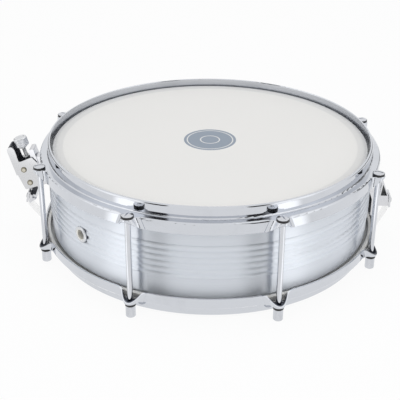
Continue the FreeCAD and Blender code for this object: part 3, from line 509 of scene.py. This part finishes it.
def dress_nodes():
    """Give every node its finish, and hand the finishes on by node for the pieces."""
    pale_inside = (inside_of_hoop, (0.84, 0.84, 0.85), 0.25)
    # Painted shade: the ears' hollows get a dark, dull tint in the hoops' chrome.
    painted_shade_in_ears = (inside_of_ears, (0.13, 0.14, 0.17), 0.8)
    # Painted shade: the lever's channel between its cheeks gets a dark, dull tint.
    painted_shade_in_lever = (inside_of_lever, (0.085, 0.09, 0.105), 0.4)
    # Painted shade: both sides of the clamp's web get a dark tint.
    painted_shade_in_clamp = (sides_of_web(CLAMP_WEB_HALF), (0.09, 0.095, 0.11), 0.3)
    # Painted shade: both sides of the butt's web get a dark tint.
    painted_shade_in_butt = (sides_of_web(BUTT_WEB_HALF), (0.20, 0.205, 0.20), 0.5)
    cast = {"gloss": 0.12, "smudge": 0.07, "wave": 1.4}
    hoop_chrome = chrome("hoop_chrome", (0.62, 0.64, 0.68), gloss=0.04, smudge=0.04, wave=0.5,
                         patches=[pale_inside, painted_shade_in_ears])
    rod_chrome = chrome("rod_chrome", (0.63, 0.645, 0.68), gloss=0.06, smudge=0.06, wave=0.6)
    cast_chrome = chrome("strainer_chrome", (0.68, 0.685, 0.71), **cast)
    lever_chrome = chrome("lever_chrome", (0.66, 0.665, 0.68), **cast, patches=[painted_shade_in_lever])
    clamp_chrome = chrome("clamp_chrome", (0.66, 0.67, 0.70), **cast, patches=[painted_shade_in_clamp])
    butt_chrome = chrome("butt_chrome", (0.68, 0.685, 0.71), **cast, patches=[painted_shade_in_butt])
    dark_steel = chrome("strainer_inner_steel", (0.25, 0.255, 0.27), gloss=0.16, smudge=0.10)
    knob_nickel = chrome("knob_satin_nickel", (0.74, 0.75, 0.77), gloss=0.30, smudge=0.08)
    screw_steel = zinc_steel("zinc_plated_steel")
    washer_black = black_plastic("washer_black_nylon", 0.32)
    gasket_black = black_plastic("gasket_black_rubber", 0.55)
    pivot = (-STRAINER_R, STRAINER_Z)
    cross_pin = strainer_place(CROSS_PIN_V, CROSS_PIN_U).translation
    # The pins' painted highlight colour and painted shade colour.
    pin_tints = ((0.66, 0.63, 0.55), (0.27, 0.245, 0.185))
    pivot_brass = turned_brass("pivot_brass_painted_highlight", *pin_tints, pivot)
    pin_brass = turned_brass("cross_pin_brass_painted_highlight", *pin_tints, (cross_pin.x, cross_pin.z))
    plate_brass = turned_brass("end_plate_brass", (0.78, 0.65, 0.38), (0.62, 0.49, 0.26))
    rods = ["tension_rod_%d" % index for index in range(1, ROD_COUNT + 1)]
    dressed = (
        (spun_aluminium(), ["shell"]),
        (drawn_aluminium(), ["batter_flesh_hoop", "snare_side_flesh_hoop"]),
        (batter_film(), ["batter_head"]),
        (resonant_film(), ["snare_side_head"]),
        (vent_nickel(), ["vent_eyelet"]),
        (clear_band(), ["strainer_strap", "butt_strap"]),
        (hoop_chrome, ["batter_hoop", "snare_side_hoop"]),
        (rod_chrome, ["tension_nuts"] + rods),
        (washer_black, ["rod_head_washers", "rod_nut_washers"]),
        (gasket_black, ["strainer_gasket", "butt_gasket"]),
        (cast_chrome, ["strainer_base", "clamp_jaw", "butt_jaw"]),
        (lever_chrome, ["throw_lever"]),
        (pivot_brass, ["lever_pivot_rivets"]),
        (pin_brass, ["lever_cross_pin"]),
        (dark_steel, ["strainer_carriage"]),
        (knob_nickel, ["adjuster_knob"]),
        (clamp_chrome, ["clamp_slide"]),
        (butt_chrome, ["butt_bracket"]),
        (plate_brass, ["snare_end_plates"]),
        (screw_steel, ["adjuster_screw", "snare_wires", "strainer_screws", "strainer_washers",
                       "clamp_jaw_screws", "end_plate_screws", "butt_jaw_screws",
                       "butt_screws", "butt_nuts"]),
    )
    finishes = {name: material for material, names in dressed for name in names}
    for name, material in finishes.items():
        mesh = nodes[name].data
        mesh.materials.clear()
        mesh.materials.append(material)
    return finishes


# Camera, floor and light

def photo_camera():
    """The camera that was fitted to the photo's rim, rods and nuts."""
    right = CAMERA_FORWARD.cross(Vector((0, 0, 1))).normalized()
    up = right.cross(CAMERA_FORWARD).normalized()
    rolled_right = right * math.cos(CAMERA_ROLL) + up * math.sin(CAMERA_ROLL)
    rolled_up = up * math.cos(CAMERA_ROLL) - right * math.sin(CAMERA_ROLL)
    turn = Matrix((rolled_right, rolled_up, -CAMERA_FORWARD.normalized())).transposed()
    lens = bpy.data.cameras.new("photo_camera")
    lens.lens = CAMERA_LENS
    lens.sensor_width = CAMERA_SENSOR
    camera = bpy.data.objects.new("photo_camera", lens)
    camera.matrix_world = Matrix.Translation(CAMERA_PLACE) @ turn.to_4x4()
    bpy.context.scene.collection.objects.link(camera)
    bpy.context.scene.camera = camera


def pale_floor():
    """A white table that keeps a faint shadow of the drum. Metal also shows the two bright
    stripes on it that the soft boxes throw, to the front left and right."""
    mesh = bpy.data.meshes.new("floor")
    half = FLOOR_HALF
    corners = [(-half, -half, 0), (half, -half, 0), (half, half, 0), (-half, half, 0)]
    mesh.from_pydata(corners, [], [(0, 1, 2, 3)])
    floor = bpy.data.objects.new("floor", mesh)
    floor.location.z = -0.2 * MM
    bpy.context.scene.collection.objects.link(floor)
    paint = Surface("floor_white", {})
    tree = paint.tree
    paint.shader.inputs["Base Color"].default_value = (0.86, 0.86, 0.87, 1.0)
    paint.shader.inputs["Roughness"].default_value = 0.9
    x, y, z = paint.parts(paint.place())
    beside = paint.size_of(x) * math.cos(STRIPE_TURN) + y * math.sin(STRIPE_TURN)
    stripe = paint.band(beside, STRIPE_MIDDLE, STRIPE_HALF, STRIPE_SOFT)
    stripe = stripe * paint.smooth(distance(x, y), STRIPE_START_R, STRIPE_FULL_R)
    path = paint.node("ShaderNodeLightPath")
    glossy = Field(paint, path.socket.node.outputs["Is Glossy Ray"])
    light = 1.0 + glossy * (stripe * STRIPE_LIGHT - 0.01)
    white = paint.node("ShaderNodeEmission", {}, {"Color": light, "Strength": 1.0})
    seen = path * FLOOR_PLAIN_SHARE + glossy
    mixed = paint.node("ShaderNodeMixShader", {}, {0: seen, 2: white})
    tree.links.new(paint.shader.outputs[0], mixed.socket.node.inputs[1])
    output = tree.nodes["Material Output"]
    tree.links.new(mixed.socket, output.inputs["Surface"])
    mesh.materials.append(paint.material)


def white_studio():
    """White to the camera. Metal shows bright soft boxes, a dark gap on each side between
    them, and the dark room behind the drum."""
    world = bpy.data.worlds.new("white_studio")
    bpy.context.scene.world = world
    world.use_nodes = True
    tree = world.node_tree
    studio = Finish(tree)
    direction = studio.node("ShaderNodeTexCoord", output=0)
    x, y, z = studio.parts(direction)
    side = studio.size_of(x)
    front = 1 - studio.smooth(y, 0.0, 0.25)
    low = studio.band(z, FRONT_HEIGHT, 0.52, 0.06) * front
    leaning = side + z * BOX_LEAN
    gap = studio.band(leaning, GAP_SIDE, 0.09, 0.03) * front
    gap = gap * studio.band(z, FRONT_HEIGHT, 0.36, 0.06)
    box = studio.band(leaning, BOX_SIDE, 0.13, 0.07) * low
    room = studio.band(z, BACK_HEIGHT, 0.10, 0.05) * studio.smooth(y, 0.2, 0.45)
    room = room * studio.smooth(side, 0.35, 0.55)
    tone = 1.0 + box * BOX_LIGHT - gap * GAP_DARK - room * BACK_DARK
    path = studio.node("ShaderNodeLightPath")
    outputs = path.socket.node.outputs
    camera_ray = Field(studio, outputs["Is Camera Ray"])
    glossy_ray = Field(studio, outputs["Is Glossy Ray"])
    transmission_ray = Field(studio, outputs["Is Transmission Ray"])
    level = ROOM_LIGHT * (1 - glossy_ray) + tone * glossy_ray
    shown = camera_ray + transmission_ray
    strength = level * (1 - shown) + shown
    background = tree.nodes["Background"]
    background.inputs["Color"].default_value = (1, 1, 1, 1)
    tree.links.new(strength.socket, background.inputs["Strength"])


def soft_box(name, place, target, size, power):
    """A lamp of a given width and height that looks at the target and isn't mirrored."""
    lamp = bpy.data.lights.new(name, "AREA")
    lamp.shape = "RECTANGLE"
    lamp.size, lamp.size_y = size
    lamp.energy = power
    box = bpy.data.objects.new(name, lamp)
    box.location = place
    away = Vector(place) - Vector(target)
    box.rotation_euler = away.to_track_quat("Z", "Y").to_euler()
    box.visible_glossy = False
    bpy.context.scene.collection.objects.link(box)


def lamps():
    middle = (0, 0, DRUM_MIDDLE)
    soft_box("left_soft_box", (-1.15, -1.05, 0.95), middle, (0.75, 1.1), 6.5)
    soft_box("right_soft_box", (1.15, -1.05, 0.95), middle, (0.75, 1.1), 6.5)
    soft_box("top_soft_box", (0.0, 0.25, 1.9), middle, (1.6, 1.2), 10.0)


# Shapes

def put(name, mesh, material, body, replaced=()):
    """Finish a mesh as a piece that rides on a body."""
    mesh.materials.append(material)
    mesh.shade_smooth()
    mesh.set_sharp_from_angle(angle=CREASE)
    piece = bpy.data.objects.new(name, mesh)
    bpy.context.scene.collection.objects.link(piece)
    if body:
        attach(piece, body)
    if replaced:
        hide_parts(*replaced)
    return piece


def mesh_of(name, vertices, faces):
    mesh = bpy.data.meshes.new(name)
    mesh.from_pydata(vertices, [], faces)
    mesh.update()
    return mesh


def spun(profile, steps, relief=None):
    """Vertices and faces of a half outline turned about Z. A point is (r, z, share), and
    relief(angle) times the share is taken off its radius; radius 0 is a pole."""
    vertices = []
    rings = []
    for r, z, share in profile:
        if r == 0:
            rings.append([len(vertices)])
            vertices.append(Vector((0, 0, z)))
            continue
        ring = []
        for index in range(steps):
            angle = WHOLE_TURN * index / steps
            cut = relief(angle) * share if relief else 0.0
            ring.append(len(vertices))
            vertices.append(Vector(((r - cut) * math.cos(angle),
                                    (r - cut) * math.sin(angle), z)))
        rings.append(ring)
    faces = []
    for low, high in zip(rings, rings[1:]):
        for index in range(steps):
            after = (index + 1) % steps
            if len(low) == 1:
                faces.append((low[0], high[after], high[index]))
            elif len(high) == 1:
                faces.append((low[index], low[after], high[0]))
            else:
                faces.append((low[index], low[after], high[after], high[index]))
    return vertices, faces


def joined(*shapes):
    """One shape out of several."""
    vertices = []
    faces = []
    for more_vertices, more_faces in shapes:
        start = len(vertices)
        vertices += more_vertices
        faces += [tuple(start + corner for corner in face) for face in more_faces]
    return vertices, faces


def copies(shape, places):
    """One shape out of a shape at each placing matrix."""
    return joined(*(([place @ vertex for vertex in shape[0]], shape[1]) for place in places))


def rod_places():
    out = Matrix.Translation((ROD_CIRCLE_R, 0, 0))
    angles = [ROD_FIRST_ANGLE + index * WHOLE_TURN / ROD_COUNT for index in range(ROD_COUNT)]
    return [Matrix.Rotation(angle, 4, "Z") @ out for angle in angles]


def strainer_place(v, u):
    """Placing matrix at a point of the strainer's frame: local X is v and local Z is u."""
    cosine = math.cos(STRAINER_LEAN)
    sine = math.sin(STRAINER_LEAN)
    turn = Matrix(((-cosine, 0, -sine), (0, -1, 0), (-sine, 0, cosine)))
    spot = Vector((-STRAINER_R - v * cosine - u * sine, 0, STRAINER_Z - v * sine + u * cosine))
    return Matrix.Translation(spot) @ turn.to_4x4()


def facing(spot, direction):
    """Placing matrix at a spot, with local Z along a direction."""
    turn = Vector(direction).to_track_quat("Z", "Y")
    return Matrix.Translation(spot) @ turn.to_matrix().to_4x4()


def knurl(teeth, depth):
    """How deep a straight knurl is cut at an angle: 0 on a tooth's crest."""
    def cut(angle):
        wave = (angle * teeth / WHOLE_TURN) % 1.0
        return depth * (1 - abs(2 * wave - 1))
    return cut


def knurled_nuts(material):
    """Eight tall nuts with a straight knurl between their chamfers."""
    radius = 4.25 * MM
    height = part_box("tension_nuts")[1].z
    chamfer = 0.5 * MM
    bore = 2.55 * MM
    floor = 6.6 * MM
    teeth = 30
    depth = 0.28 * MM
    profile = [(0, 0, 0), (radius - chamfer, 0, 0), (radius, chamfer, 0.4),
               (radius, chamfer + depth, 1), (radius, height - chamfer - depth, 1),
               (radius, height - chamfer, 0.4), (radius - chamfer, height, 0),
               (bore, height, 0), (bore, floor, 0), (0, floor, 0)]
    shape = spun(profile, teeth * 4, knurl(teeth, depth))
    mesh = mesh_of("knurled_nuts", *copies(shape, rod_places()))
    return put("knurled_nuts", mesh, material, "drum", ["tension_nuts"])


def knurled_knob(material):
    """The tension knob: a fine knurl between rounded edges, and a dished top."""
    low = KNOB_LOW_U
    top = KNOB_HIGH_U
    neck = low - 1.6 * MM
    neck_r = 3.4 * MM
    socket = low + 6.1 * MM
    socket_r = 2.1 * MM
    radius = 6.5 * MM
    teeth = 44
    depth = 0.22 * MM
    profile = [(0, socket, 0), (socket_r, socket, 0), (socket_r, neck, 0), (neck_r, neck, 0),
               (neck_r, low, 0), (radius - 0.7 * MM, low, 0), (radius, low + 0.6 * MM, 0.4),
               (radius, low + 0.9 * MM, 1), (radius, top - 1.7 * MM, 1),
               (radius, top - 1.3 * MM, 0.4), (radius - 0.4 * MM, top - 0.5 * MM, 0),
               (radius - 1.3 * MM, top, 0), (radius - 2.0 * MM, top, 0),
               (radius - 2.6 * MM, top - 0.4 * MM, 0), (0, top - 0.5 * MM, 0)]
    shape = spun(profile, teeth * 4, knurl(teeth, depth))
    mesh = mesh_of("knurled_knob", *copies(shape, [strainer_place(SCREW_V, 0)]))
    return put("knurled_knob", mesh, material, "adjuster", ["adjuster_knob"])


def threaded_bar(radius, low, high, pitch, depth, steps=24):
    """Vertices and faces of a bar with one helical thread, closed at both ends."""
    rings_a_turn = 8
    count = int((high - low) / pitch * rings_a_turn)
    vertices = [Vector((0, 0, low))]
    for ring in range(count + 1):
        height = low + (high - low) * ring / count
        for index in range(steps):
            wave = (height / pitch - index / steps) % 1.0
            reach = radius - depth * abs(2 * wave - 1)
            angle = WHOLE_TURN * index / steps
            vertices.append(Vector((reach * math.cos(angle), reach * math.sin(angle), height)))
    vertices.append(Vector((0, 0, high)))
    faces = []
    for index in range(steps):
        after = (index + 1) % steps
        faces.append((0, 1 + after, 1 + index))
        last = 1 + count * steps
        faces.append((last + index, last + after, len(vertices) - 1))
        for ring in range(count):
            start = 1 + ring * steps
            faces.append((start + index, start + after, start + steps + after,
                          start + steps + index))
    return vertices, faces


def threaded_adjuster(material):
    """The tension screw's thread and the collar that bears on the carriage."""
    bar = threaded_bar(radius=2.0 * MM, low=-2.8 * MM, high=41.7 * MM, pitch=0.9 * MM,
                       depth=0.45 * MM)
    radius = 3.9 * MM
    bevel = 0.3 * MM
    collar = spun([(0, COLLAR_LOW_U, 0), (radius - bevel, COLLAR_LOW_U, 0),
                   (radius, COLLAR_LOW_U + bevel, 0), (radius, COLLAR_HIGH_U - bevel, 0),
                   (radius - bevel, COLLAR_HIGH_U, 0), (0, COLLAR_HIGH_U, 0)], 40)
    shape = copies(joined(bar, collar), [strainer_place(SCREW_V, 0)])
    mesh = mesh_of("threaded_adjuster", *shape)
    return put("threaded_adjuster", mesh, material, "adjuster",
               ["adjuster_screw"])


def crossed_screw(head_r, head_height, shank_r, length):
    """A pan-head screw with a cross recess; its seat is at 0 and its head at +Z."""
    steps = 48
    rings = 14
    arm_half = head_r * 0.15
    arm_length = head_r * 0.62
    recess = head_height * 0.55
    crown = head_height * 0.45
    side = head_height - crown
    tip = 0.3 * MM
    profile = [(0, -length, 0), (shank_r * 0.7, -length, 0), (shank_r, -length + tip, 0),
               (shank_r, 0, 0), (head_r * 0.97, 0, 0), (head_r, 0.15 * MM, 0),
               (head_r, side, 0)]
    for ring in range(1, rings + 1):
        reach = head_r * (1 - ring / rings)
        profile.append((reach, side + crown * (1 - (reach / head_r) ** 2), 0))
    vertices, faces = spun(profile, steps)
    for vertex in vertices:
        if vertex.z > side:
            near = min(abs(vertex.x), abs(vertex.y))
            far = max(abs(vertex.x), abs(vertex.y))
            if near < arm_half and far < arm_length:
                vertex.z -= recess * (1 - 0.5 * far / arm_length)
    return vertices, faces


def jaw_screw_places():
    """The clamp's two screws, square to its leaning jaw."""
    along = Vector(CLAMP_TAIL).normalized()
    normal = Vector((-along.z, 0, along.x))
    seat = CLAMP_STOP - along * JAW_SCREW_UP + normal * JAW_SCREW_OUT
    place = strainer_place(seat.x, seat.z)
    turn = Matrix.Rotation(math.atan2(normal.x, normal.z), 4, "Y")
    return [Matrix.Translation((0, side * JAW_SCREW_ASIDE, 0)) @ place @ turn
            for side in (-1, 1)]


def strap_screws(material):
    """The screws that show: two in each jaw, two in the butt plate, four under the snares."""
    shape = crossed_screw(head_r=2.6 * MM, head_height=1.4 * MM, shank_r=1.5 * MM,
                          length=5.0 * MM)
    mesh = mesh_of("clamp_cross_screws", *copies(shape, jaw_screw_places()))
    put("clamp_cross_screws", mesh, material, "clamp", ["clamp_jaw_screws"])

    for node, sizes in (("butt_jaw_screws", (2.6, 1.4, 1.5, 8.0)),
                        ("butt_screws", (3.9, 2.2, 2.0, 10.0))):
        head_r, head_height, shank_r, length = (size * MM for size in sizes)
        low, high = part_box(node)
        middle_z = (low.z + high.z) / 2
        spots = [Vector((high.x - head_height, side * (high.y - head_r), middle_z))
                 for side in (-1, 1)]
        shape = crossed_screw(head_r, head_height, shank_r, length)
        mesh = mesh_of(node, *copies(shape, [facing(spot, (1, 0, 0)) for spot in spots]))
        put(node + "_crossed", mesh, material, "drum", [node])

    low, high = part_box("end_plate_screws")
    head_r = 2.2 * MM
    head_height = 1.0 * MM
    spots = [Vector((end * (high.x - head_r), side * (high.y - head_r), low.z + head_height))
             for end in (-1, 1) for side in (-1, 1)]
    shape = crossed_screw(head_r, head_height, shank_r=1.2 * MM, length=2.0 * MM)
    mesh = mesh_of("end_plate_cross_screws",
                   *copies(shape, [facing(spot, (0, 0, -1)) for spot in spots]))
    put("end_plate_cross_screws", mesh, material, "snares",
        ["end_plate_screws"])


def coiled_snares(material):
    """Ten coils of thin wire side by side, soldered to the end plates."""
    coil_r = 0.60 * MM
    wire_r = 0.25 * MM
    pitch = 1.3 * MM
    points_a_turn = 9
    sides = 4
    turns = 2 * SNARE_HALF_LENGTH / pitch
    count = int(turns * points_a_turn)
    slope = math.atan2(pitch, WHOLE_TURN * coil_r)
    vertices = []
    faces = []
    for wire in range(SNARE_COUNT):
        middle_y = (wire - (SNARE_COUNT - 1) / 2) * SNARE_PITCH
        hand = 1 if wire % 2 else -1
        start = len(vertices)
        for point in range(count + 1):
            share = point / count
            x = -SNARE_HALF_LENGTH + 2 * SNARE_HALF_LENGTH * share
            angle = hand * WHOLE_TURN * turns * share
            out = Vector((0, math.cos(angle), math.sin(angle)))
            around = Vector((0, -math.sin(angle), math.cos(angle))) * hand
            flat = Vector((math.cos(slope), 0, 0)) - around * math.sin(slope)
            centre = Vector((x, middle_y, SNARE_Z)) + out * coil_r
            for side in range(sides):
                turn = WHOLE_TURN * (side + 0.5) / sides
                vertices.append(centre + (out * math.cos(turn) + flat * math.sin(turn)) * wire_r)
        for point in range(count):
            for side in range(sides):
                after = (side + 1) % sides
                near = start + point * sides
                faces.append((near + side, near + after, near + sides + after,
                              near + sides + side)[::-hand])
        first = tuple(start + side for side in range(sides))
        last = tuple(start + count * sides + side for side in range(sides))
        faces.append(first[::hand])
        faces.append(last[::-hand])
    mesh = mesh_of("coiled_snares", vertices, faces)
    return put("coiled_snares", mesh, material, "snares", ["snare_wires"])


def straight_run(points, end, step):
    """Add the points of a straight run to a route, as far as its end."""
    before = points[-1].copy()
    lengths = max(1, int((end - before).length / step))
    points += [before.lerp(end, part / lengths) for part in range(1, lengths + 1)]


def rounded_route(corners, bend, step=1.2 * MM):
    """Evenly spaced points along straight runs that are joined by arcs."""
    points = [Vector(corners[0])]
    for index in range(1, len(corners) - 1):
        corner = Vector(corners[index])
        back = (Vector(corners[index - 1]) - corner).normalized()
        ahead = (Vector(corners[index + 1]) - corner).normalized()
        half = back.angle(ahead) / 2
        run = bend / math.tan(half)
        start = corner + back * run
        stop = corner + ahead * run
        centre = corner + (back + ahead).normalized() * (bend / math.sin(half))
        arc = (math.pi - 2 * half) * bend
        pieces = max(2, int(arc / step) + 1)
        straight_run(points, start, step)
        for part in range(1, pieces + 1):
            spoke = (start - centre).lerp(stop - centre, part / pieces).normalized() * bend
            points.append(centre + spoke)
    straight_run(points, Vector(corners[-1]), step)
    return points


def band_piece(name, points, side, material, body, replaced):
    """A flat band along points (radius, height), on the side -1 or 1 of the drum."""
    across = [-1.0, -0.97, 0.97, 1.0]
    edge_thinning = 0.6
    vertices = []
    for index, point in enumerate(points):
        ahead = points[min(index + 1, len(points) - 1)] - points[max(index - 1, 0)]
        normal = Vector((-ahead.y, ahead.x)).normalized() * BAND_THICKNESS / 2
        for face in (1, -1):
            for share in across[::face]:
                thin = edge_thinning if abs(share) == 1.0 else 1.0
                spot = point + normal * face * thin
                vertices.append(Vector((side * spot.x, share * BAND_HALF, spot.y)))
    ring = 2 * len(across)
    first = tuple(range(ring))
    last = tuple(range(len(vertices) - ring, len(vertices)))
    faces = [first[::side], last[::-side]]
    for index in range(len(points) - 1):
        for corner in range(ring):
            near = index * ring + corner
            beside = index * ring + (corner + 1) % ring
            faces.append((near, near + ring, beside + ring, beside)[::side])
    return put(name, mesh_of(name, vertices, faces), material, body, replaced)


def cut_route(points, shares):
    """The route in stretches that meet at shares of its count of points."""
    marks = [0] + [int(share * (len(points) - 1)) for share in shares] + [len(points) - 1]
    return [points[first:last + 1] for first, last in zip(marks, marks[1:])]


def clear_bands(material):
    """The strainer's band is cut in three, at the gate and below the clamp; the butt's in two,
    at the gate.
    """
    route = rounded_route(STRAINER_BAND, BAND_BEND)
    under, rise, grip = cut_route(route, (GATE_SHARE, CLAMP_SHARE))
    piece = band_piece("strainer_band_under", under, -1, material, None, ["strainer_strap"])
    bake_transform(piece)
    piece = band_piece("strainer_band_rise", rise, -1, material, None, ["strainer_strap"])
    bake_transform(piece)
    piece = band_piece("strainer_band_grip", grip, -1, material, None, ["strainer_strap"])
    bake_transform(piece)
    route = rounded_route(BUTT_BAND, BAND_BEND)
    under, rise = cut_route(route, (GATE_SHARE,))
    piece = band_piece("butt_band_under", under, 1, material, None, ["butt_strap"])
    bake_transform(piece)
    band_piece("butt_band_rise", rise, 1, material, "drum", ["butt_strap"])


finishes = dress_nodes()
photo_camera()
pale_floor()
white_studio()
lamps()
knurled_nuts(finishes["tension_nuts"])
knurled_knob(finishes["adjuster_knob"])
threaded_adjuster(finishes["adjuster_screw"])
strap_screws(finishes["clamp_jaw_screws"])
coiled_snares(finishes["snare_wires"])
clear_bands(finishes["strainer_strap"])

scene = bpy.context.scene
scene.view_settings.view_transform = "Standard"
